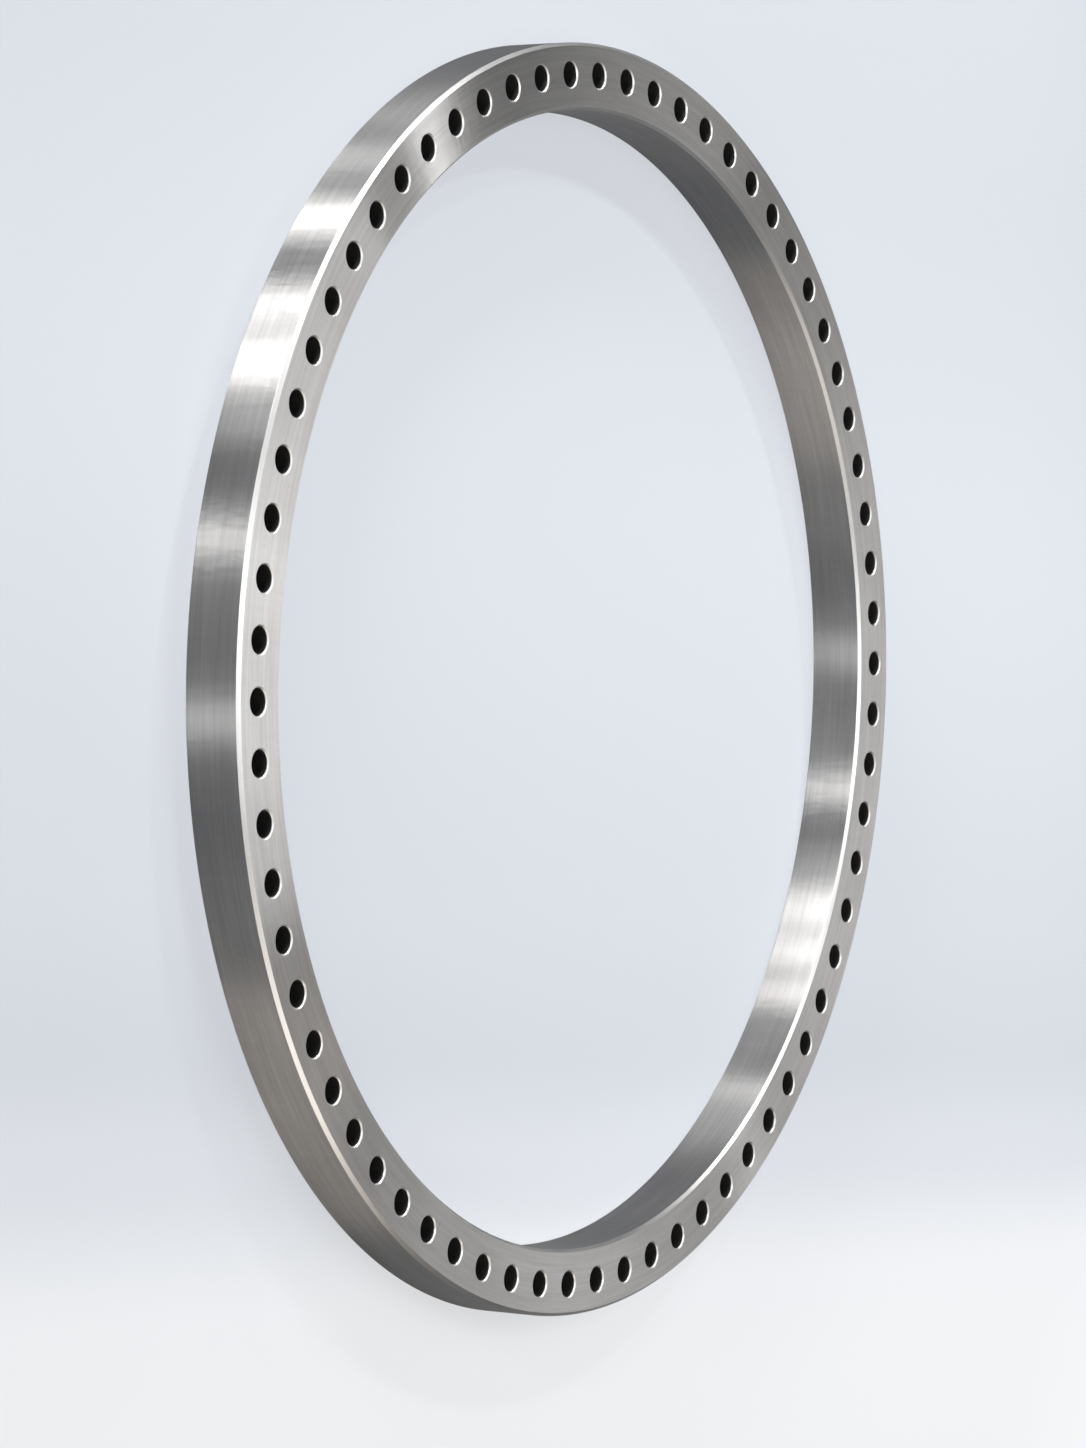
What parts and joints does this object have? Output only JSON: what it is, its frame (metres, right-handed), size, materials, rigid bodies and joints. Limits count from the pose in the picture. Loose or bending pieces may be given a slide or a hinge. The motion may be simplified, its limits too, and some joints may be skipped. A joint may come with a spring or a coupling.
{
  "type": "anchor flange",
  "caption": "Flat turned steel ring flange with a full circle of through bolt holes, a wide open bore and chamfered edges on its front face.",
  "frame": {"origin": "centre of the back face, which the ring lies on", "axes": "+Z along the ring's axis, out of the front face with the wide chamfers; +X midway between two bolt holes"},
  "size_m": [1.92, 1.9196, 0.088],
  "materials": {
    "turned_steel": "turned bare steel, with fine marks around the axis and a soft sheen"
  },
  "bodies": {
    "root": {"flange_ring": "turned_steel"}
  },
  "joints": []
}
